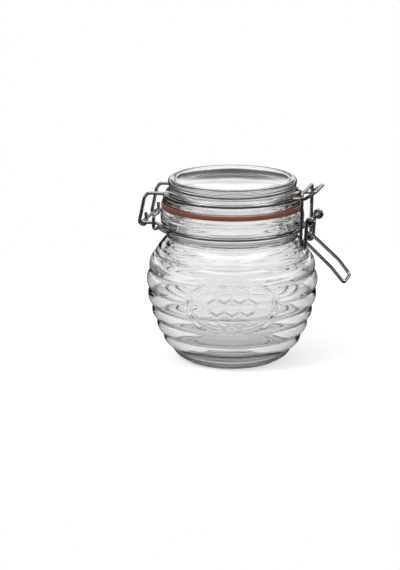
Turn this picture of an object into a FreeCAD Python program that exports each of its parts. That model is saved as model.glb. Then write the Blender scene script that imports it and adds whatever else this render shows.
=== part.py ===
import FreeCAD, Part
import math
import os

# A clip-top storage jar: a ribbed, hive-shaped glass body, a glass lid on a rubber seal,
# and a closure bent from round wire.  Sizes are millimetres and angles are degrees.
# +Z is up and the origin is the centre of the base.  +X points at the latch, -X at the
# hinge.  All wires but the hook that closes the neck wire are mirrored in the plane Y = 0.

# Glass body
body_radius = 48.8        # of the widest groove between two ribs
shoulder_height = 63.8    # of the groove that ends the plain shoulder
groove_places = (         # each groove: share of body_radius, share of shoulder_height
    (0.922, 1.000), (0.990, 0.834), (0.998, 0.668), (0.955, 0.508),
    (0.902, 0.382), (0.832, 0.248), (0.730, 0.129),
)
groove_width = 1.3
groove_depth = 0.3
rib_bulge = 1.35          # how far a rib stands out between its two grooves
foot_radius = 27.2        # outside of the ring that the jar stands on
foot_width = 2.8
punt_height = 2.2         # rise of the hollow under the base
punt_radius = 19.0        # flat middle of that hollow
wall = 3.3
base_thickness = 5.0
neck_radius = 37.7
neck_height = 73.2        # where the shoulder meets the neck
collar_radius = 41.6
mouth_radius = 35.6
land_height = 90.8        # the flat ring that the seal lies on
throat_radius = 34.4      # narrowest place inside the neck

# Oval medallion, left plain inside its raised edge
medallion_turn = -76.4    # direction it faces, measured from +X about +Z
medallion_width = 55.4
medallion_height = 31.4
medallion_middle = 42.0   # height of its middle
medallion_edge = 1.5      # width of the raised edge
medallion_rise = 0.45     # how far the edge stands out from the rib crests
medallion_sink = 0.2      # how far the field lies below them
medallion_sweep = 100     # degrees of the body that the medallion is cut from

# Seal and lid
seal_gap = 0.05           # running gap under the seal, which lifts off with the lid
seal_thickness = 2.4
seal_radius = collar_radius - 0.3
plug_radius = mouth_radius - 1.4    # the part of the lid that hangs into the mouth
plug_play = 0.4           # gap all round between the plug and the seal's hole
plug_depth = 3.8
plug_wall = 3.0           # thickness of the ring-shaped plug
lid_height = land_height + 16.7
lid_flange_radius = collar_radius - 1.0
lid_rim_radius = lid_flange_radius - 3.2
dish_radius = lid_rim_radius - 5.6  # of the shallow dish inside the rim
dish_drop = 0.9           # from the rim down to the edge of the dish
dish_sag = 1.2            # from the edge of the dish down to its middle
dish_flat = 6.0           # radius of the level middle of the dish
lid_thickness = 6.5       # in the middle

# Wires
wire = 2.0                # diameter of every wire
eye_play = 0.1            # gap all round a wire inside an eye that turns on it
side_gap = 0.3            # gap between two wires that pass side by side
groove_gap = 0.05         # gap between a ring of wire and the glass groove it lies in
end_eye_turn = 285        # how far the lever's wire turns round the neck wire's pins
eye_roundness = 0.97      # bend radius of an eye's wire as a share of the eye's radius
eye_step = 50             # most degrees that one bend of an eye turns through
small_bend = 1.5
bend = 2.5
arm_bend = 4.5
ring_run = 3.0            # straight wire between a ring and its first bend
tang_run = 2.2
lid_ring = (lid_rim_radius + 1.72, land_height + 8.0)      # radius and height of the wire
neck_ring = (collar_radius - 0.45, land_height - 10.8)
groove_bow = 2 / 7        # bow of a groove's arcs as a share of its depth

# Closure: places in the X-Z plane, set out from the collar, the rings and the widest rib
hinge_pin = (-collar_radius - 8.4, neck_ring[1] + 2.0)
hinge_arm_top = hinge_pin[0] + 1.5
hinge_end = (hinge_pin[0] + 1.7, hinge_pin[1] + 5.4)   # free end of the hook on the hinge pin
hinge_arm_offset = 13.7        # from the plane Y = 0
hinge_loop_offset = 16.8
hinge_loop_rise = hinge_pin[0] + 8.5   # where the hinge loop has reached the height of its pin
tongue_offset = 9.5
tongue_valley = (collar_radius + 3.4, lid_ring[1] + 0.4)
tongue_tip = (tongue_valley[0] + 6.5, tongue_valley[1] + 4.8)
lever_pin = (collar_radius + 7.0, neck_ring[1] + 6.2)
bail_pin_x = lever_pin[0] - 5.0
shoulder_fall = (neck_height - shoulder_height) / (groove_places[0][0] * body_radius - neck_radius)
shoulder_below = neck_height - (bail_pin_x - neck_radius) * shoulder_fall
bail_pin = (bail_pin_x, max(lever_pin[1] - 13.3, shoulder_below + 1.5 * wire + eye_play + 1.0))
bail_top = (bail_pin[0] + 0.6, tongue_valley[1] + 3.9)
eye_offset = 11.2              # plane of the lever's eyes
leg_offset = 9.0               # plane of the handle's legs beside the bail pin
handle_bend = (body_radius + 12.3, bail_pin[1] - 12.9)
handle_bend_offset = 10.0
handle_end = (handle_bend[0] + 7.1, handle_bend[1] - 8.6)
handle_end_offset = 9.4
hook_start_turn = 46           # where the end of the neck wire begins, from -X towards -Y
hook_dip = 1.0                 # how far it dips below the ring before it turns up
hook_slope = 1.6               # length along X of that dip
hook_bend = 1.1
hook_rise = 4.5                # how far above the hinge pin it turns in towards the collar
hook_end_height = land_height - 1.9
hook_end_turn = 21.4

radius = wire / 2
eye_radius = wire + eye_play
bail_offset = eye_offset + radius + side_gap + small_bend
tang_offset = eye_offset - radius - side_gap - small_bend
hook_offset = hinge_loop_offset + wire + side_gap
hook_x = hinge_loop_rise - 0.7

axis_z = FreeCAD.Vector(0, 0, 1)
origin = FreeCAD.Vector(0, 0, 0)


# ---- Profiles turned about the Z axis ----

def curved_edge(start, end, rise):
    """A straight or curved edge in the X-Z plane.  It bows to its left by rise."""
    first = FreeCAD.Vector(start[0], 0, start[1])
    last = FreeCAD.Vector(end[0], 0, end[1])
    if abs(rise) < 1e-6:
        return Part.LineSegment(first, last).toShape()
    run = last - first
    left = FreeCAD.Vector(-run.z, 0, run.x).normalize()
    middle = (first + last) * 0.5 + left * rise
    return Part.Arc(first, middle, last).toShape()


def outline(start, steps):
    """Edges from start through steps, each (radius, height, rise of the edge to it)."""
    edges = []
    place = start
    for step_radius, step_height, rise in steps:
        edges.append(curved_edge(place, (step_radius, step_height), rise))
        place = (step_radius, step_height)
    return edges


def turned(edges, angle=360):
    face = Part.Face(Part.Wire(edges))
    return face.revolve(origin, axis_z, angle)


def arc_edges(places):
    """Arcs in the X-Z plane, each through three of the places, which it shares at its ends."""
    points = [FreeCAD.Vector(r, 0, z) for r, z in places]
    return [Part.Arc(*points[first:first + 3]).toShape() for first in range(0, len(points) - 2, 2)]


# ---- Glass body ----

def grooves():
    """Radius and height of each groove, from the shoulder down to the foot."""
    places = [(r * body_radius, z * shoulder_height) for r, z in groove_places]
    return places + [(foot_radius + 0.9, 1.2)]


def groove_sides(before, here, after):
    """The two edges of one groove: half its width each way along the body's outline."""
    run = FreeCAD.Vector(after[0] - before[0], 0, after[1] - before[1]).normalize()
    half = run * (groove_width / 2)
    return (here[0] - half.x, here[1] - half.z), (here[0] + half.x, here[1] + half.z)


def ribbed_side():
    """Outline steps from the neck down over the shoulder and the ribs to the foot."""
    places = [(neck_radius, neck_height)] + grooves()
    steps = []
    for number in range(1, len(places) - 1):
        upper, lower = groove_sides(places[number - 1], places[number], places[number + 1])
        rise = 0.5 if number == 1 else rib_bulge
        steps.append((upper[0], upper[1], rise))
        steps.append((lower[0], lower[1], -groove_depth))
    steps.append((places[-1][0], places[-1][1], rib_bulge))
    return steps


def rib_crest(number):
    """The highest place of one rib, counted from the shoulder."""
    upper, lower = grooves()[number], grooves()[number + 1]
    run = FreeCAD.Vector(lower[0] - upper[0], 0, lower[1] - upper[1]).normalize()
    out = rib_bulge - groove_depth
    return ((upper[0] + lower[0]) / 2 - run.z * out, (upper[1] + lower[1]) / 2 + run.x * out)


def medallion_block(width, height, lift):
    """Solid glass under an oval window, level with the rib crests and raised by lift."""
    crests = [rib_crest(number) for number in (0, 1, 4)]
    top, middle, bottom = [(r + lift, z) for r, z in crests]
    core = body_radius / 2
    edges = arc_edges([top, middle, bottom])
    edges += outline(bottom, [(core, bottom[1], 0), (core, top[1], 0), (*top, 0)])
    shell = turned(edges, medallion_sweep)
    shell.rotate(origin, axis_z, medallion_turn - medallion_sweep / 2)
    oval = Part.Ellipse(origin, width / 2, height / 2).toShape()
    oval.rotate(origin, FreeCAD.Vector(1, 0, 0), 90)
    window = Part.Face(Part.Wire([oval])).extrude(FreeCAD.Vector(0, -2 * body_radius, 0))
    window.translate(FreeCAD.Vector(0, 0, medallion_middle))
    window.rotate(origin, axis_z, medallion_turn + 90)
    return shell.common(window)


def inner_side():
    """Places on the inner wall from the shoulder down, one wall's thickness in from each groove."""
    places = grooves()
    inner = [(places[0][0] - wall, places[0][1] - 0.8)]
    for before, here, after in zip(places, places[1:], places[2:]):
        run = FreeCAD.Vector(after[0] - before[0], 0, after[1] - before[1]).normalize()
        inner.append((here[0] + run.z * wall, here[1] - run.x * wall))
    return inner


def jar_hollow():
    """The inside of the jar, from its floor up through the mouth."""
    side = inner_side()
    floor = base_thickness + punt_height
    edges = arc_edges(side)
    edges += outline(side[-1], [
        (foot_radius - 3, floor, -0.8),
        (0, floor, 0),
        (0, land_height + 1, 0),
        (mouth_radius, land_height + 1, 0),
        (mouth_radius, land_height - 4, 0),
        (throat_radius, land_height - 9, 0),
        (throat_radius, neck_height + 1, 0),
        (*side[0], 0.6),
    ])
    return turned(edges)


def jar_body():
    ring_radius, ring_height = neck_ring
    hollow = radius + groove_gap
    edges = outline((0, land_height), [
        (collar_radius - 1.4, land_height, 0),
        (collar_radius - 0.5, land_height - 0.8, 0.25),
        (collar_radius - 0.1, land_height - 3.2, 0.05),
        (collar_radius - 0.1, ring_height + 2.4, 0.25),
        (ring_radius - 0.15, ring_height + hollow, 0.25),
        (ring_radius - hollow, ring_height, -hollow * groove_bow),
        (ring_radius - 0.35, ring_height - hollow, -hollow * groove_bow),
        (collar_radius - 1.6, ring_height - 2.6, 0.4),
        (neck_radius + 0.5, ring_height - 4.6, 0.1),
        (neck_radius, neck_height, -0.3),
    ])
    edges += outline((neck_radius, neck_height), ribbed_side())
    heel = grooves()[-1]
    edges += outline(heel, [
        (foot_radius - 0.5, 0, 0.2),
        (foot_radius - foot_width, 0, 0),
        (punt_radius, punt_height, -0.4),
        (0, punt_height, 0),
        (0, land_height, 0),
    ])
    body = turned(edges)
    field = medallion_block(medallion_width, medallion_height, -medallion_sink)
    edge = medallion_block(medallion_width, medallion_height, medallion_rise)
    inside = medallion_block(medallion_width - 2 * medallion_edge, medallion_height - 2 * medallion_edge,
                             medallion_rise + 1)
    edge = edge.cut(inside)
    return body.fuse([field, edge]).cut(jar_hollow())


# ---- Lid and seal ----

def seal():
    hole = plug_radius + plug_play
    low = land_height + seal_gap
    top = low + seal_thickness
    edges = outline((hole, low), [
        (seal_radius - 0.4, low, 0),
        (seal_radius, low + 0.5, -0.1),
        (seal_radius, top - 0.5, 0),
        (seal_radius - 0.4, top, -0.1),
        (hole, top, 0),
        (hole, low, 0),
    ])
    return turned(edges)


def lid_glass():
    flange = land_height + seal_gap + seal_thickness
    plug_foot = flange - plug_depth
    ring_radius, ring_height = lid_ring
    hollow = radius + groove_gap
    dish_edge = lid_height - dish_drop
    dish_middle = dish_edge - dish_sag
    inside = dish_middle - lid_thickness
    plug_inside = plug_radius - plug_wall
    edges = outline((0, inside), [
        (plug_inside - 2.0, inside, 0),
        (plug_inside - 0.2, inside - 2.4, -0.4),
        (plug_inside, plug_foot + 0.8, 0),
        (plug_inside + 1.0, plug_foot, -0.2),
        (plug_radius - 0.8, plug_foot, 0),
        (plug_radius, plug_foot + 0.8, -0.2),
        (plug_radius, flange, 0),
        (lid_flange_radius - 0.6, flange, 0),
        (lid_flange_radius, flange + 0.7, -0.2),
        (lid_flange_radius - 0.3, flange + 2.6, -0.1),
        (ring_radius - 0.1, ring_height - hollow, -0.4),
        (ring_radius - hollow, ring_height, hollow * groove_bow),
        (ring_radius - 0.5, ring_height + hollow - 0.12, 0.2),
        (lid_rim_radius - 0.8, ring_height + 3.2, 0.35),
        (lid_rim_radius - 0.3, lid_height - 3.4, -0.1),
        (lid_rim_radius, lid_height - 2.0, -0.1),
        (lid_rim_radius - 1.8, lid_height, -0.6),
        (lid_rim_radius - 3.6, lid_height - 0.3, -0.15),
        (dish_radius, dish_edge, 0.1),
        (dish_flat, dish_middle, dish_sag / 4),
        (0, dish_middle, 0),
        (0, inside, 0),
    ])
    return turned(edges)


# ---- Bent wires ----

def bent_path(stations):
    """Edges along straight runs through stations (x, y, z, bend radius), with tangent arcs."""
    places = [FreeCAD.Vector(*station[:3]) for station in stations]
    edges = []
    start = places[0]
    for number in range(1, len(places) - 1):
        here = places[number]
        before = (places[number - 1] - here).normalize()
        after = (places[number + 1] - here).normalize()
        half_turn = (math.pi - before.getAngle(after)) / 2
        reach = stations[number][3] * math.tan(half_turn)
        depth = stations[number][3] * (1 / math.cos(half_turn) - 1)
        arc_start = here + before * reach
        arc_end = here + after * reach
        arc_middle = here + (before + after).normalize() * depth
        if (arc_start - start).Length > 1e-4:
            edges.append(Part.LineSegment(start, arc_start).toShape())
        edges.append(Part.Arc(arc_start, arc_middle, arc_end).toShape())
        start = arc_end
    edges.append(Part.LineSegment(start, places[-1]).toShape())
    return edges


def leave_ring(ring, offset, run, side):
    """Where a wire leaves a ring on its -Y half: the tangent point, then the corner.

    The corner lies at Y = -offset, and side is 1 on the latch's side, -1 on the hinge's."""
    ring_radius, height = ring
    corner_angle = math.asin(offset / math.hypot(ring_radius, run))
    tangent_angle = corner_angle + math.atan(run / ring_radius)
    corner_reach = math.hypot(ring_radius, run)
    tangent = (side * ring_radius * math.cos(tangent_angle), -ring_radius * math.sin(tangent_angle), height)
    corner = (side * corner_reach * math.cos(corner_angle), -offset, height)
    return tangent, corner


def ring_arc(ring, start, end):
    """The part of a ring from start to end that passes through its -Y side."""
    ring_radius, height = ring
    near = FreeCAD.Vector(0, -ring_radius, height)
    return Part.Arc(FreeCAD.Vector(*start), near, FreeCAD.Vector(*end)).toShape()


def swept_wire(edges):
    """Round wire along edges that join end to end."""
    path = Part.Wire(Part.__sortEdges__(edges))
    first = path.OrderedEdges[0]
    start = path.OrderedVertexes[0].Point
    ahead = first.tangentAt(first.getParameterByLength(0))
    if (first.valueAt(first.FirstParameter) - start).Length > 1e-4:
        ahead = first.tangentAt(first.LastParameter) * -1
    section = Part.Wire([Part.Circle(start, ahead, radius).toShape()])
    return path.makePipeShell([section], True, False)


def mirrored_wire(edges):
    """Round wire along edges on the -Y side and along their mirror image."""
    return swept_wire(edges + [edge.mirror(origin, FreeCAD.Vector(0, 1, 0)) for edge in edges])


def arrive(place, pin, turn):
    """Heading of the run from place that touches the circle of an eye about pin."""
    x, z = pin[0] - place[0], pin[1] - place[1]
    return math.degrees(math.atan2(z, x) - turn * math.asin(eye_radius / math.hypot(x, z)))


def depart(pin, place, turn):
    """Heading of the run that leaves the circle of an eye about pin towards place."""
    x, z = place[0] - pin[0], place[1] - pin[1]
    return math.degrees(math.atan2(z, x) + turn * math.asin(eye_radius / math.hypot(x, z)))


def eye_stations(pin, heading, turned_by, y_start, y_end):
    """Stations round an eye: from a heading, through a signed turn, moving along Y."""
    turn = 1 if turned_by > 0 else -1
    count = math.ceil(abs(turned_by) / eye_step)
    step = turned_by / count
    reach = eye_radius / math.cos(math.radians(step / 2))
    stations = []
    for number in range(count):
        angle = math.radians(heading + step * (number + 0.5) - turn * 90)
        y = y_start + (y_end - y_start) * (number + 0.5) / count
        x, z = pin[0] + reach * math.cos(angle), pin[1] + reach * math.sin(angle)
        stations.append((x, y, z, eye_radius * eye_roundness))
    return stations


def eye_end(pin, heading, turn, length, y):
    """The end of a wire that leaves an eye with a heading, straight for a length."""
    angle = math.radians(heading)
    x = pin[0] + turn * eye_radius * math.sin(angle) + length * math.cos(angle)
    z = pin[1] - turn * eye_radius * math.cos(angle) + length * math.sin(angle)
    return (x, y, z, 0)


def lid_wire():
    """Ring round the lid, with a tongue at the latch and two hooks on the hinge pin."""
    y = -hinge_arm_offset
    arm_start, arm_corner = leave_ring(lid_ring, hinge_arm_offset, ring_run, -1)
    tongue_start, tongue_corner = leave_ring(lid_ring, tongue_offset, ring_run, 1)
    top = (hinge_arm_top, lid_ring[1])
    down = arrive(top, hinge_pin, 1)
    up = depart(hinge_pin, hinge_end, 1)
    hook = eye_stations(hinge_pin, down, up - down, y, y)
    arm = [(*arm_start, 0), (*arm_corner, bend), (top[0], y, top[1], arm_bend)]
    arm += hook + [(hinge_end[0], y, hinge_end[1], 0)]
    tongue = [
        (*tongue_start, 0),
        (*tongue_corner, bend),
        (tongue_valley[0], -tongue_offset, tongue_valley[1], arm_bend),
        (tongue_tip[0], -tongue_offset, tongue_tip[1], small_bend),
        (tongue_tip[0], 0, tongue_tip[1], 0),
    ]
    edges = bent_path(arm) + bent_path(tongue) + [ring_arc(lid_ring, arm_start, tongue_start)]
    return mirrored_wire(edges)


def neck_wire():
    """Ring under the collar, with a loop that is the hinge pin and two pins for the lever."""
    loop_start, loop_corner = leave_ring(neck_ring, hinge_loop_offset, ring_run, -1)
    tang_start, tang_corner = leave_ring(neck_ring, tang_offset, tang_run, 1)
    loop = [
        (*loop_start, 0),
        (*loop_corner, bend),
        (hinge_loop_rise, -hinge_loop_offset, hinge_pin[1], bend),
        (hinge_pin[0], -hinge_loop_offset, hinge_pin[1], small_bend),
        (hinge_pin[0], 0, hinge_pin[1], 0),
    ]
    tang = [
        (*tang_start, 0),
        (*tang_corner, bend),
        (lever_pin[0], -tang_offset, lever_pin[1], small_bend),
        (lever_pin[0], -eye_offset - radius - side_gap, lever_pin[1], 0),
    ]
    edges = bent_path(loop) + bent_path(tang) + [ring_arc(neck_ring, loop_start, tang_start)]
    return mirrored_wire(edges)


def neck_hook():
    """The end that closes the neck wire: it lies beside the ring, then hooks up round one
    leg of the hinge loop and in towards the collar."""
    beside = neck_ring[0] + wire + side_gap
    height = neck_ring[1]
    leave, corner = leave_ring((beside, height), hook_offset, tang_run, -1)
    begin_turn = math.radians(180 + hook_start_turn)
    leave_turn = math.atan2(leave[1], leave[0]) % (2 * math.pi)
    middle_turn = (begin_turn + leave_turn) / 2
    along = [FreeCAD.Vector(beside * math.cos(turn), beside * math.sin(turn), height)
             for turn in (begin_turn, middle_turn, leave_turn)]
    end_turn = math.radians(180 + hook_end_turn)
    end_radius = collar_radius + radius + side_gap
    hook = [
        (*leave, 0),
        (*corner, small_bend),
        (corner[0] - hook_slope, -hook_offset, height - hook_dip, hook_bend),
        (hook_x, -hook_offset, height - hook_dip, hook_bend),
        (hook_x, -hook_offset, hinge_pin[1] + hook_rise, bend),
        (end_radius * math.cos(end_turn), end_radius * math.sin(end_turn), hook_end_height, 0),
    ]
    return swept_wire([Part.Arc(*along).toShape()] + bent_path(hook))


def bail():
    """The pull-down loop: two pins turned in through the lever's eyes, legs and crossbar."""
    stations = [
        (bail_pin[0], -leg_offset + radius + side_gap + eye_play, bail_pin[1], 0),
        (bail_pin[0], -bail_offset, bail_pin[1], small_bend),
        (bail_top[0], -bail_offset, bail_top[1], bend),
        (bail_top[0], 0, bail_top[1], 0),
    ]
    return mirrored_wire(bent_path(stations))


def lever():
    """The handle: squared end, two legs, an eye round each bail pin, and an end eye on
    each pin of the neck wire."""
    into_eye = arrive(handle_bend, bail_pin, 1)
    x, z = lever_pin[0] - bail_pin[0], lever_pin[1] - bail_pin[1]
    between = math.degrees(math.atan2(z, x) + math.asin(2 * eye_radius / math.hypot(x, z)))
    first_turn = between + 360 - into_eye
    end_turn = -end_eye_turn
    stations = [
        (handle_end[0], 0, handle_end[1], 0),
        (handle_end[0], -handle_end_offset, handle_end[1], bend),
        (handle_bend[0], -handle_bend_offset, handle_bend[1], 6 * wire),
    ]
    stations += eye_stations(bail_pin, into_eye, first_turn, -leg_offset, -eye_offset)
    stations += eye_stations(lever_pin, between, end_turn, -eye_offset, -eye_offset)
    stations.append(eye_end(lever_pin, between + end_turn, -1, 0.3, -eye_offset))
    return mirrored_wire(bent_path(stations))


pieces = {
    "jar_body": jar_body,
    "neck_wire": neck_wire,
    "neck_hook": neck_hook,
    "seal": seal,
    "lid_glass": lid_glass,
    "lid_wire": lid_wire,
    "lever": lever,
    "bail": bail,
}

os.makedirs("parts", exist_ok=True)
for name, make in pieces.items():
    shape = make()
    shape.exportStep("parts/" + name + ".step")
    state = "valid" if shape.isValid() else "NOT VALID"
    print(name, state, len(shape.Solids), "solid,", round(shape.Volume), "mm3")
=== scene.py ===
# A clip-top glass jar: ribbed body, glass lid, rubber seal and a closure of bent steel wire.
import bpy
import bmesh
import math
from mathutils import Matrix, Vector


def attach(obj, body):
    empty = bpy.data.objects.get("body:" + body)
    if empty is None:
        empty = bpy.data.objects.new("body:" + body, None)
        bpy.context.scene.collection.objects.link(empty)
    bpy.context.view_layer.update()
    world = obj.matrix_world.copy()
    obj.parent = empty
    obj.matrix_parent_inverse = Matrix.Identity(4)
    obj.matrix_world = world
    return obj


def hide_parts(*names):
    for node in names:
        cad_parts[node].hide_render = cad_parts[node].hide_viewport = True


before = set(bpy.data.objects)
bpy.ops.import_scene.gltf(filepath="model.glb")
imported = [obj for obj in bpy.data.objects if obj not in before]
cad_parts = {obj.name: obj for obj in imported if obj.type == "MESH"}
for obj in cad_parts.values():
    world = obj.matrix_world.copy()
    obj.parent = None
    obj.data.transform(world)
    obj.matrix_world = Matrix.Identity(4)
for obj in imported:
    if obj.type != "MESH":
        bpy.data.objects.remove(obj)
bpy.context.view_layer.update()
mm = 0.001                   # lengths below are in mm unless a note says otherwise
print("frame loaded")


view = {
    "turn": 13.6,            # degrees round the jar from its front, towards the latch
    "rise": 13.3,            # degrees above the neck wire
    "distance": 1500.0,      # mm from the axis at the neck wire
    "neckHeight": 80.0,
    "aimAside": -18.7,       # mm, where the middle of the picture lies from the neck wire's centre
    "aimUp": -35.7,
    "lens": 108.6,
}


def makeCamera(v):
    turn, rise = math.radians(v["turn"]), math.radians(v["rise"])
    look = Vector((-math.sin(turn) * math.cos(rise), math.cos(turn) * math.cos(rise), -math.sin(rise)))
    aside = Vector((math.cos(turn), math.sin(turn), 0))
    up = aside.cross(look)
    centre = Vector((0, 0, v["neckHeight"]))
    place = centre - look * v["distance"]
    aim = centre + aside * v["aimAside"] + up * v["aimUp"]
    data = bpy.data.cameras.new("camera")
    data.sensor_fit = "VERTICAL"
    data.sensor_height = 24
    data.lens = v["lens"]
    data.clip_end = 20
    camera = bpy.data.objects.new("camera", data)
    camera.location = place * mm
    camera.rotation_euler = (aim - place).to_track_quat("-Z", "Y").to_euler()
    bpy.context.collection.objects.link(camera)
    bpy.context.scene.camera = camera


makeCamera(view)


class Sock:
    # one output socket; arithmetic on it adds Math nodes
    def __init__(self, tree, socket):
        self.tree = tree
        self.socket = socket

    def calc(self, operation, first, second=0.0, clamp=False):
        node = self.tree.nodes.new("ShaderNodeMath")
        node.operation = operation
        node.use_clamp = clamp
        for place, value in enumerate((first, second)):
            if isinstance(value, Sock):
                self.tree.links.new(value.socket, node.inputs[place])
            else:
                node.inputs[place].default_value = value
        return Sock(self.tree, node.outputs[0])

    def __add__(self, other):
        return self.calc("ADD", self, other)

    def __radd__(self, other):
        return self.calc("ADD", other, self)

    def __sub__(self, other):
        return self.calc("SUBTRACT", self, other)

    def __rsub__(self, other):
        return self.calc("SUBTRACT", other, self)

    def __mul__(self, other):
        return self.calc("MULTIPLY", self, other)

    def __rmul__(self, other):
        return self.calc("MULTIPLY", other, self)

    def sine(self):
        return self.calc("SINE", self)

    def clamped(self):
        return self.calc("ADD", self, 0.0, clamp=True)

    def most(self, other):
        return self.calc("MAXIMUM", self, other)


class Shader:
    # a node tree with one way to add a node
    def __init__(self, tree):
        self.tree = tree
        tree.nodes.clear()

    def add(self, kind, settings=None, values=None):
        node = self.tree.nodes.new("ShaderNode" + kind)
        for name, value in (settings or {}).items():
            setattr(node, name, value)
        for name, value in (values or {}).items():
            if isinstance(value, Sock):
                self.tree.links.new(value.socket, node.inputs[name])
            else:
                node.inputs[name].default_value = value
        return node

    def out(self, node, name=0):
        return Sock(self.tree, node.outputs[name])

    def calc(self, operation, first, second=0.0):
        return first.calc(operation, first, second)

    def split(self, vector):
        parts = self.add("SeparateXYZ", None, {"Vector": vector})
        return self.out(parts, "X"), self.out(parts, "Y"), self.out(parts, "Z")

    def noise(self, scale, detail, stretch=(1, 1, 1)):
        place = self.out(self.add("TexCoord"), "Object")
        mapped = self.add("Mapping", {"vector_type": "POINT"}, {"Vector": place, "Scale": stretch})
        values = {"Vector": self.out(mapped), "Scale": scale, "Detail": detail, "Roughness": 0.5}
        return self.out(self.add("TexNoise", None, values), "Fac")

    def mixColour(self, factor, first, second):
        node = self.add("Mix", {"data_type": "RGBA"})
        for place, value in ((0, factor), (6, first), (7, second)):
            if isinstance(value, Sock):
                self.tree.links.new(value.socket, node.inputs[place])
            else:
                node.inputs[place].default_value = value if place == 0 else (*value, 1)
        return Sock(self.tree, node.outputs[2])

    def bump(self, height, depth):
        return self.out(self.add("Bump", None, {"Height": height, "Distance": depth, "Strength": 1.0}))


def ramp(value, start, end):
    # 0 at start, 1 at end and clamped
    return ((value - start) * (1 / (end - start))).clamped()


def newMaterial(name):
    material = bpy.data.materials.new(name)
    material.use_nodes = True
    shader = Shader(material.node_tree)
    return material, shader


def finishMaterial(shader, values):
    principled = shader.add("BsdfPrincipled", None, values)
    shader.add("OutputMaterial", None, {"Surface": shader.out(principled)})


def arcPoints(start, end, rise, count):
    # places after start up to end, on an arc that bows to its left by rise
    chord = Vector(end) - Vector(start)
    if abs(rise) < 1e-6 or count == 1:
        return [tuple(Vector(start) + chord * (step / count)) for step in range(1, count + 1)]
    half = chord.length / 2
    arcRadius = (half * half + rise * rise) / (2 * rise)
    left = Vector((-chord.y, chord.x)).normalized()
    centre = Vector(start) + chord / 2 + left * (rise - arcRadius)
    spoke = Vector(start) - centre
    sweep = -2 * math.asin(max(-1, min(1, half / arcRadius)))
    if abs(rise) > half:
        sweep = -(2 * math.pi - abs(sweep)) * (1 if rise > 0 else -1)
    places = []
    for step in range(1, count + 1):
        angle = sweep * step / count
        turned = Vector((spoke.x * math.cos(angle) - spoke.y * math.sin(angle),
                         spoke.x * math.sin(angle) + spoke.y * math.cos(angle)))
        places.append(tuple(centre + turned))
    return places


def outline(start, steps, spacing):
    # the places of an outline whose steps are (radius, height, rise of the edge to it)
    places = [start]
    for radius, height, rise in steps:
        length = math.dist(places[-1], (radius, height))
        count = max(1 if abs(rise) < 1e-6 and length < 3 else 3, math.ceil(length / spacing))
        places += arcPoints(places[-1], (radius, height), rise, count)
    return places


def lathe(name, places, angles, shapes=()):
    # a closed solid of revolution
    # each of shapes is (first ring, end ring, function of radius, height and angle that gives the new radius)
    mesh = bmesh.new()
    rings = []
    for number, (radius, height) in enumerate(places):
        if radius < 1e-6:
            rings.append([mesh.verts.new((0, 0, height * mm))])
            continue
        moves = [move for first, end, move in shapes if first <= number < end]
        ring = []
        for angle in angles:
            r = radius
            for move in moves:
                r = move(r, height, angle)
            ring.append(mesh.verts.new((r * math.cos(angle) * mm, r * math.sin(angle) * mm, height * mm)))
        rings.append(ring)
    count = len(angles)
    for low, high in zip(rings, rings[1:]):
        for number in range(count):
            after = (number + 1) % count
            if len(low) == 1 and len(high) == 1:
                continue
            if len(low) == 1:
                mesh.faces.new((low[0], high[after], high[number]))
            elif len(high) == 1:
                mesh.faces.new((low[number], low[after], high[0]))
            else:
                mesh.faces.new((low[number], low[after], high[after], high[number]))
    bmesh.ops.recalc_face_normals(mesh, faces=mesh.faces[:])
    data = bpy.data.meshes.new(name)
    mesh.to_mesh(data)
    mesh.free()
    data.polygons.foreach_set("use_smooth", [True] * len(data.polygons))
    piece = bpy.data.objects.new(name, data)
    bpy.context.collection.objects.link(piece)
    return piece


def evenAngles(count):
    return [2 * math.pi * number / count for number in range(count)]


def smooth(value, low, high):
    t = max(0.0, min(1.0, (value - low) / (high - low)))
    return t * t * (3 - 2 * t)


body = {
    "bodyRadius": 48.8,
    "shoulderHeight": 63.8,
    # each groove between two ribs, as shares of the body's radius and the shoulder's height
    "grooves": ((0.922, 1.0), (0.990, 0.834), (0.998, 0.668), (0.955, 0.508),
                (0.902, 0.382), (0.832, 0.248), (0.730, 0.129)),
    "grooveWidth": 1.6,
    "grooveDepth": 0.6,
    "ribBulge": 1.3,
    "footRadius": 27.2,
    "footWidth": 2.8,
    "puntHeight": 2.2,
    "puntRadius": 19.0,
    "wall": 3.3,
    "baseThickness": 5.0,
    "neckRadius": 37.7,
    "neckHeight": 73.2,
    "collarRadius": 41.6,
    "mouthRadius": 35.6,
    "landHeight": 90.8,
    "throatRadius": 34.4,
    "innerBulge": 0.15,      # the inner wall follows the ribs, but less
    "ridgeWidth": 3.0,       # of the soft ridge inside behind each groove
    "ridgeDepth": 0.25,
    "waviness": 0.12,        # pressed glass is never quite even on the inside
    "ripple": 0.2,           # uneven rings on the inside of the shoulder
    "rippleStart": 50.0,
    "rippleRate": 1.7,       # radians for each mm of height
    "bars": 76,              # short bars pressed into the ring that the jar stands on
    "barDepth": 0.5,
    "barHeight": 2.8,
    "outsideSpacing": 0.45,  # mm between the mesh's rings
    "undersideSpacing": 1.5,
    "insideSpacing": 0.8,
    "anglesAtMedallion": 210,
    "otherAngles": 420,
}

neckRing = (41.15, 80.0)     # radius and height of the centre of the wire round the neck
lidRing = (39.12, 98.8)      # and of the one round the lid
wireHollow = 1.05            # radius of the groove a wire lies in


def grooves(b):
    places = [(r * b["bodyRadius"], z * b["shoulderHeight"]) for r, z in b["grooves"]]
    return places + [(b["footRadius"] + 0.9, 1.2)]


def along(before, after):
    return (Vector(after) - Vector(before)).normalized()


def ribSteps(places, width, depth, bulge):
    # from each groove to the next: an arc that stands out, and a small round hollow at the groove
    steps = []
    for before, here, after in zip(places, places[1:], places[2:]):
        half = along(before, after) * (width / 2)
        steps.append((*(Vector(here) - half), bulge))
        steps.append((*(Vector(here) + half), -depth))
    return steps


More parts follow.
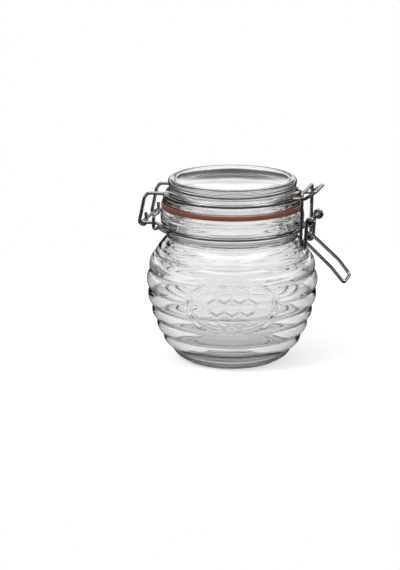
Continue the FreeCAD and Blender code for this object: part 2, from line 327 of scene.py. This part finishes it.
def ribbedSide(b):
    places = [(b["neckRadius"], b["neckHeight"])] + grooves(b)
    steps = ribSteps(places, b["grooveWidth"], b["grooveDepth"], b["ribBulge"])
    steps[0] = (*steps[0][:2], 0.5)
    return steps + [(*places[-1], b["ribBulge"])]


def bodyOutside(b):
    ring, height = neckRing
    collar = b["collarRadius"]
    steps = [
        (collar - 0.5, b["landHeight"] - 0.8, 0.25),
        (collar - 0.1, b["landHeight"] - 3.2, 0.05),
        (collar - 0.1, height + 2.4, 0.25),
        (ring - 0.15, height + wireHollow, 0.25),
        (ring - wireHollow, height, -0.3),
        (ring - 0.35, height - wireHollow, -0.3),
        (collar - 1.6, height - 2.6, 0.4),
        (b["neckRadius"] + 0.5, height - 4.6, 0.1),
        (b["neckRadius"], b["neckHeight"], -0.3),
    ]
    return steps + ribbedSide(b)


def bodyUnderside(b):
    foot = b["footRadius"]
    return [
        (foot - 0.5, 0, 0.2),
        (foot - b["footWidth"], 0, 0),
        (b["puntRadius"], b["puntHeight"], -0.4),
        (0, b["puntHeight"], 0),
    ]


def bodyInside(b):
    # from the middle of the floor up to the mouth
    places = grooves(b)
    side = [(places[0][0] - b["wall"], places[0][1] - 0.8)]
    for before, here, after in zip(places, places[1:], places[2:]):
        run = along(before, after) * b["wall"]
        side.append((here[0] + run.y, here[1] - run.x))
    floor = b["baseThickness"] + b["puntHeight"]
    steps = [(b["footRadius"] - 3, floor, 0)]
    upwards = [steps[0][:2]] + side[::-1]
    steps += ribSteps(upwards, b["ridgeWidth"], -b["ridgeDepth"], -b["innerBulge"])
    steps += [
        (*side[0], -b["innerBulge"]),
        (b["throatRadius"], b["neckHeight"] + 1, -0.6),
        (b["throatRadius"], b["landHeight"] - 9, 0),
        (b["mouthRadius"], b["landHeight"] - 4, 0),
        (b["mouthRadius"], b["landHeight"] - 0.3, 0),
        (b["mouthRadius"] + 0.3, b["landHeight"], 0.1),
    ]
    return steps


# the oval medallion: a plain raised edge round a small honeycomb
medallion = {
    "turn": -76.4,           # degrees, the way it faces
    "sector": 72,            # degrees of the body with a finer mesh
    "width": 55.4,
    "height": 31.4,
    "middle": 42.0,          # height of its middle
    "edge": 1.5,
    "rise": 0.45,            # of the edge over the crests of the ribs
    "fieldDrop": 0.2,
    "cell": 4.4,             # from the middle of a honeycomb cell to its side
    "line": 1.1,             # width of the cell walls
    "lineRise": 0.75,
    "thinFrom": 2.7,         # the fine second line, mm inside the oval's outer line
    "thinTo": 3.4,
    "thinRise": 0.35,
    "moat": 0.4,             # depth of the fine line pressed round the oval
    "moatWidth": 0.95,
}


def ribCrest(b, number):
    upper, lower = grooves(b)[number], grooves(b)[number + 1]
    run = along(upper, lower)
    out = b["ribBulge"] - b["grooveDepth"]
    return (upper[0] + lower[0]) / 2 - run.y * out, (upper[1] + lower[1]) / 2 + run.x * out


def circleThrough(first, second, third):
    (ax, ay), (bx, by), (cx, cy) = first, second, third
    a, b, c = ax * ax + ay * ay, bx * bx + by * by, cx * cx + cy * cy
    d = 2 * (ax * (by - cy) + bx * (cy - ay) + cx * (ay - by))
    ux = (a * (by - cy) + b * (cy - ay) + c * (ay - by)) / d
    uy = (a * (cx - bx) + b * (ax - cx) + c * (bx - ax)) / d
    return ux, uy, math.dist((ux, uy), first)


def cellWall(u, v, m):
    # 1 on the walls of a seven-cell honeycomb, 0 elsewhere
    side = m["cell"]
    best = None
    for row in (-1, 0, 1):
        for column in (-1, 0, 1) if row == 0 else (-0.5, 0.5):
            cu, cv = u - column * 2 * side, v - row * side * math.sqrt(3)
            slant = cv * math.sqrt(3) / 2
            reach = max(abs(cu), abs(cu * 0.5 + slant), abs(cu * 0.5 - slant))
            best = abs(reach - side) if best is None else min(best, abs(reach - side))
    return 1 - smooth(best, m["line"] * 0.25, m["line"] * 0.75)


def medallionShape(b, m):
    centreR, centreZ, bow = circleThrough(ribCrest(b, 0), ribCrest(b, 1), ribCrest(b, 4))
    middleAngle = math.radians(m["turn"])
    halfWidth, halfHeight = m["width"] / 2, m["height"] / 2

    def move(radius, height, angle):
        v = height - m["middle"]
        u = ((angle - middleAngle + math.pi) % (2 * math.pi) - math.pi) * b["bodyRadius"]
        if abs(v) > halfHeight + 2 or abs(u) > halfWidth + 2:
            return radius
        reach = math.hypot(u / halfWidth, v / halfHeight)
        slope = math.hypot(u / halfWidth ** 2, v / halfHeight ** 2) / max(reach, 0.001)
        inward = (1 - reach) / max(slope, 0.001)         # mm inside the oval's outer line
        cover = smooth(inward, -0.25, 0.3)
        radius -= smooth(inward, -m["moatWidth"] - 0.25, -m["moatWidth"] + 0.25) * m["moat"]
        field = centreR + math.sqrt(bow * bow - (height - centreZ) ** 2) - m["fieldDrop"]
        edge = 1 - smooth(inward, m["edge"] - 0.4, m["edge"] + 0.2)
        thin = smooth(inward, m["thinFrom"] - 0.2, m["thinFrom"] + 0.2)
        thin *= 1 - smooth(inward, m["thinTo"] - 0.2, m["thinTo"] + 0.2)
        level = field + edge * (m["rise"] + m["fieldDrop"]) + thin * m["thinRise"]
        level += cellWall(u, v, m) * m["lineRise"]
        return radius + (level - radius) * cover
    return move


def bodyAngles(m, inSector, elsewhere):
    # angles round the body, closer together over the medallion
    half = math.radians(m["sector"] / 2)
    start = math.radians(m["turn"]) - half
    sector = [start + 2 * half * number / inSector for number in range(inSector)]
    rest = 2 * math.pi - 2 * half
    return sector + [start + 2 * half + rest * number / elsewhere for number in range(elsewhere)]


def innerWaves(b):
    def move(radius, height, angle):
        if radius < b["throatRadius"] + 0.5 and height > b["neckHeight"]:
            return radius
        wave = math.sin(3 * angle + height * 0.21) * 0.5 + math.sin(7 * angle - height * 0.37 + 1.3) * 0.3
        wave += math.sin(13 * angle + height * 0.83 + 0.4) * 0.2
        turnShift = 0.9 * math.sin(2 * angle + 0.5) + 0.5 * math.sin(5 * angle)
        share = smooth(height, b["rippleStart"], b["rippleStart"] + 10)
        ripple = math.sin(height * b["rippleRate"] + turnShift) * share
        return radius + wave * b["waviness"] + ripple * b["ripple"]
    return move


def footBars(b):
    def move(radius, height, angle):
        low = 1 - smooth(height, b["barHeight"] * 0.6, b["barHeight"])
        return radius - b["barDepth"] * low * (0.5 + 0.5 * math.sin(b["bars"] * angle))
    return move


def glassBody(b, m):
    land = (b["collarRadius"] - 1.4, b["landHeight"])
    floor = b["baseThickness"] + b["puntHeight"]
    outside = outline(land, bodyOutside(b), b["outsideSpacing"])
    underside = outline(outside[-1], bodyUnderside(b), b["undersideSpacing"])[1:]
    inside = outline((0, floor), bodyInside(b), b["insideSpacing"])
    places = outside + underside + inside + [land]
    wallStart = len(outside) + len(underside) + 1
    shapes = [
        (0, len(outside), medallionShape(b, m)),
        (0, len(outside) + 2, footBars(b)),
        (wallStart, len(places) - 1, innerWaves(b)),
    ]
    angles = bodyAngles(m, b["anglesAtMedallion"], b["otherAngles"])
    piece = lathe("glassBody", places, angles, shapes)
    print("body made with", len(piece.data.polygons), "faces")
    return piece


glassPiece = glassBody(body, medallion)
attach(glassPiece, "jar")
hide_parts("jar_body")


lid = {
    "sealGap": 0.05,
    "sealThickness": 2.4,
    "sealPress": 0.04,       # the rubber clings to the glass above it
    "sealRadius": 41.3,
    "plugRadius": 34.2,
    "plugPlay": 0.4,
    "plugDepth": 3.8,
    "plugWall": 3.0,
    "height": 107.5,
    "flangeRadius": 40.6,
    "rimRadius": 37.4,
    "dishRadius": 32.8,
    "dishDrop": 1.6,
    "dishSag": 1.2,
    "dishFlat": 6.0,
    "thickness": 6.5,
    "markStart": 23.0,       # radius where the fine turned rings begin
    "markPitch": 1.5,
    "markDepth": 0.03,
    "spacing": 0.3,
    "angles": 256,
    "sealSpacing": 1.2,
    "sealAngles": 192,
}


def lidOutline(d, landHeight):
    flange = landHeight + d["sealGap"] + d["sealThickness"]
    foot = flange - d["plugDepth"]
    edge = d["height"] - d["dishDrop"]
    middle = edge - d["dishSag"]
    inside = middle - d["thickness"]
    ring, ringHeight = lidRing
    plug, rim, top = d["plugRadius"], d["rimRadius"], d["height"]
    plugInside = plug - d["plugWall"]
    return (0, inside), [
        (plugInside - 2.0, inside, 0),
        (plugInside - 0.2, inside - 2.4, -0.4),
        (plugInside, foot + 0.8, 0),
        (plugInside + 1.0, foot, -0.2),
        (plug - 0.8, foot, 0),
        (plug, foot + 0.8, -0.2),
        (plug, flange, 0),
        (d["flangeRadius"] - 0.6, flange, 0),
        (d["flangeRadius"], flange + 0.7, -0.2),
        (d["flangeRadius"] - 0.3, flange + 2.6, -0.1),
        (ring - 0.1, ringHeight - wireHollow, -0.4),
        (ring - wireHollow, ringHeight, 0.3),
        (ring - 0.5, ringHeight + 0.93, 0.2),
        (rim - 0.8, ringHeight + 3.2, 0.35),
        (rim - 0.3, top - 3.4, -0.1),
        (rim, top - 2.0, -0.1),
        (rim - 1.8, top, -0.6),
        (rim - 3.6, top - 0.3, -0.15),
        (d["dishRadius"], edge, 0.1),
        (d["dishFlat"], middle, d["dishSag"] / 4),
        (0, middle, 0),
    ]


def dishMarks(d, places):
    # fine turned rings towards the edge of the dish
    marked = []
    for radius, height in places:
        if d["markStart"] < radius < d["dishRadius"] and height > d["height"] - 3:
            share = smooth(radius, d["markStart"], d["markStart"] + 2)
            height += math.sin(radius * 2 * math.pi / d["markPitch"]) * d["markDepth"] * share
        marked.append((radius, height))
    return marked


start, steps = lidOutline(lid, body["landHeight"])
lidPlaces = dishMarks(lid, outline(start, steps, lid["spacing"]))
lidPiece = lathe("glassLid", lidPlaces, evenAngles(lid["angles"]))
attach(lidPiece, "lid")
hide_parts("lid_glass")


def sealOutline(d, landHeight):
    inner, outer = d["plugRadius"] + d["plugPlay"], d["sealRadius"]
    low = landHeight + d["sealGap"]
    top = low + d["sealThickness"]
    return (inner, low), [
        (outer - 0.4, low, 0),
        (outer, low + 0.5, -0.1),
        (outer, top - 0.5, 0),
        (outer - 0.4, top + d["sealPress"], -0.1),
        (inner, top + d["sealPress"], 0),
        (inner, low, 0),
    ]


start, steps = sealOutline(lid, body["landHeight"])
sealPlaces = outline(start, steps, lid["sealSpacing"])
sealPiece = lathe("rubberSeal", sealPlaces, evenAngles(lid["sealAngles"]))
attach(sealPiece, "lid")
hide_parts("seal")
print("lid and seal made")


glass = {
    "colour": (0.972, 0.972, 0.972),
    # painted shade: the glass colour turns to this dark grey where the surface turns edge-on to the viewer
    "paintedEdgeShade": (0.14, 0.14, 0.145),
    "edgeStart": 0.30,       # start of the painted edge shade: 0 faces the viewer, 1 is edge on
    "ior": 1.5,
    "roughness": 0.01,
    "waviness": 0.00004,     # metres
    "waveScale": 55,
}


def glassMaterial(name, g):
    material, shader = newMaterial(name)
    wave = shader.noise(g["waveScale"], 1.0) + shader.noise(g["waveScale"] * 4, 1.0) * 0.2
    # painted shade: the base colour darkens where the glass turns edge-on, drawing dark rims and groove lines
    facing = shader.out(shader.add("LayerWeight", None, {"Blend": 0.5}), "Facing")
    edge = ramp(facing, g["edgeStart"], 1.0)
    finishMaterial(shader, {
        "Base Color": shader.mixColour(edge, g["colour"], g["paintedEdgeShade"]),
        "Roughness": g["roughness"],
        "IOR": g["ior"],
        "Transmission Weight": 1.0,
        "Normal": shader.bump(wave, g["waviness"]),
    })
    return material


rubber = {
    "light": (0.235, 0.056, 0.018),
    "dark": (0.150, 0.035, 0.011),
    "roughness": 0.32,
    "roughnessSpread": 0.2,
    "mottleScale": 140,
    "grainScale": 2600,
    "grainHeight": 0.00003,  # metres
}


def rubberMaterial(r):
    material, shader = newMaterial("sealRubber")
    mottle = shader.noise(r["mottleScale"], 4.0)
    grain = shader.noise(r["grainScale"], 2.0)
    finishMaterial(shader, {
        "Base Color": shader.mixColour(mottle, r["dark"], r["light"]),
        "Roughness": grain * r["roughnessSpread"] + r["roughness"],
        "Normal": shader.bump(grain + mottle * 2, r["grainHeight"]),
    })
    return material


wireFinish = {
    "bright": (0.44, 0.44, 0.43),
    "dull": (0.30, 0.30, 0.30),
    "roughness": 0.02,
    "roughnessSpread": 0.12,
    "patchScale": 320,
    "streakScale": 2400,
    "streakHeight": 0.00001,
}


def wireMaterial(w):
    material, shader = newMaterial("steelWire")
    patch = shader.noise(w["patchScale"], 3.0)
    streak = shader.noise(w["streakScale"], 2.0, (1, 1, 0.15))
    finishMaterial(shader, {
        "Base Color": shader.mixColour(patch, w["dull"], w["bright"]),
        "Metallic": 1.0,
        "Roughness": patch * w["roughnessSpread"] + w["roughness"],
        "Normal": shader.bump(streak, w["streakHeight"]),
    })
    return material


def dress(piece, material):
    piece.data.materials.clear()
    piece.data.materials.append(material)


dress(glassPiece, glassMaterial("bodyGlass", glass))
dress(lidPiece, glassMaterial("lidGlass", glass))
dress(sealPiece, rubberMaterial(rubber))
steel = wireMaterial(wireFinish)
for name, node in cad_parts.items():
    if name not in ("jar_body", "lid_glass", "seal"):
        for slot in node.material_slots:
            slot.material = steel
print("materials made")


studio = {
    "floorRadius": 0.30,     # metres
    "floorFade": 0.12,       # width of the soft edge of the floor
    "floorColour": (0.86, 0.86, 0.86),
    "floorMirrored": (0.06, 0.06, 0.06),
    "floorThrough": (0.42, 0.42, 0.42),
    "floorLift": 0.42,       # brings the floor to white for the camera
    "throughLift": 0.50,     # and for what is seen through glass
    "backTurn": 103.6,       # degrees, the direction straight behind the jar
    "roomLight": 0.6,        # on dull surfaces
    # heights are the sine of the angle above the horizon: start, full, fall, end
    "upper": (0.04, 0.3, 0.72, 0.86),
    "upperLoss": 0.72,
    "flagLoss": 0.6,
    "strips": (-0.4, -0.3, 0.35, 0.5),
    "stripLight": 0.4,
    "band": (0.1, 0.13, 0.22, 0.28),
    "bandLight": 2.2,
    "overhead": (0.76, 0.84, 0.92, 0.95),
    "overheadLight": 4.0,
    "darkRoom": 0.02,
    "keyPower": 11.0,
    "fillPower": 5.0,
}


def between(value, heights):
    start, full, fall, end = heights
    return ramp(value, start, full) * (1 - ramp(value, fall, end))


def makeFloor(s):
    mesh = bmesh.new()
    bmesh.ops.create_circle(mesh, cap_ends=True, segments=96, radius=s["floorRadius"])
    data = bpy.data.meshes.new("floor")
    mesh.to_mesh(data)
    mesh.free()
    floor = bpy.data.objects.new("floor", data)
    bpy.context.collection.objects.link(floor)
    material, shader = newMaterial("floorWhite")
    x, y, z = shader.split(shader.out(shader.add("TexCoord"), "Object"))
    away = shader.calc("SQRT", x * x + y * y)
    fade = ramp(away, s["floorRadius"] - s["floorFade"], s["floorRadius"] * 0.98)
    path = shader.add("LightPath")
    through = shader.out(path, "Is Transmission Ray")
    mirrored = shader.out(path, "Is Glossy Ray") * (1 - through)
    glow = shader.out(path, "Is Camera Ray") * s["floorLift"] + through * s["throughLift"]
    colour = shader.mixColour(mirrored, s["floorColour"], s["floorMirrored"])
    surface = shader.add("BsdfPrincipled", None, {
        "Base Color": shader.mixColour(through, colour, s["floorThrough"]),
        "Roughness": 0.9,
        "Emission Color": shader.mixColour(glow, (0, 0, 0), (1, 1, 1)),
        "Emission Strength": 1.0,
    })
    clear = shader.add("BsdfTransparent")
    mixed = shader.add("MixShader", None, {0: fade, 1: shader.out(surface), 2: shader.out(clear)})
    shader.add("OutputMaterial", None, {"Surface": shader.out(mixed)})
    dress(floor, material)


def makeWorld(s):
    world = bpy.data.worlds.new("studio")
    world.use_nodes = True
    bpy.context.scene.world = world
    shader = Shader(world.node_tree)
    x, y, z = shader.split(shader.out(shader.add("TexCoord"), "Generated"))
    path = shader.add("LightPath")
    camera = shader.out(path, "Is Camera Ray")
    through = shader.out(path, "Is Transmission Ray")
    mirrored = shader.out(path, "Is Glossy Ray") * (1 - through)
    turn = shader.calc("ARCTAN2", y, x) - math.radians(s["backTurn"])
    thirds = (turn * 3 + math.pi / 2).sine()
    # what is seen through glass: a white table and backdrop, darker above, a soft light overhead
    flags = ramp(thirds, -0.3, -0.8) * s["flagLoss"]
    throughLevel = (1 - between(z, s["upper"]) * s["upperLoss"]) * (1 - flags)
    # what is mirrored: a dark room with three tall soft lights, a low band and a ring of light overhead
    strips = ramp(thirds, 0.88, 0.97) * between(z, s["strips"]) * s["stripLight"]
    band = between(z, s["band"]) * s["bandLight"]
    overhead = between(z, s["overhead"]) * s["overheadLight"]
    mirrorLevel = strips.most(band) + overhead + s["darkRoom"]
    level = camera + through * throughLevel + mirrored * mirrorLevel
    level = level + (1 - camera) * (1 - through) * (1 - mirrored) * s["roomLight"]
    background = shader.add("Background", None, {"Color": (1, 1, 1, 1), "Strength": level})
    shader.add("OutputWorld", None, {"Surface": shader.out(background)})


def areaLamp(name, place, target, size, power):
    data = bpy.data.lights.new(name, "AREA")
    data.shape = "RECTANGLE"
    data.size, data.size_y = size
    data.energy = power
    lamp = bpy.data.objects.new(name, data)
    lamp.location = place
    lamp.rotation_euler = (Vector(target) - Vector(place)).to_track_quat("-Z", "Y").to_euler()
    lamp.visible_glossy = False
    lamp.visible_transmission = False
    bpy.context.collection.objects.link(lamp)


makeFloor(studio)
makeWorld(studio)
areaLamp("keyLamp", (-0.7, -0.9, 1.1), (0, 0, 0.05), (0.6, 0.6), studio["keyPower"])
areaLamp("fillLamp", (1.0, -0.5, 0.6), (0, 0, 0.05), (0.5, 0.8), studio["fillPower"])
bpy.context.scene.view_settings.view_transform = "Standard"
print("studio made")
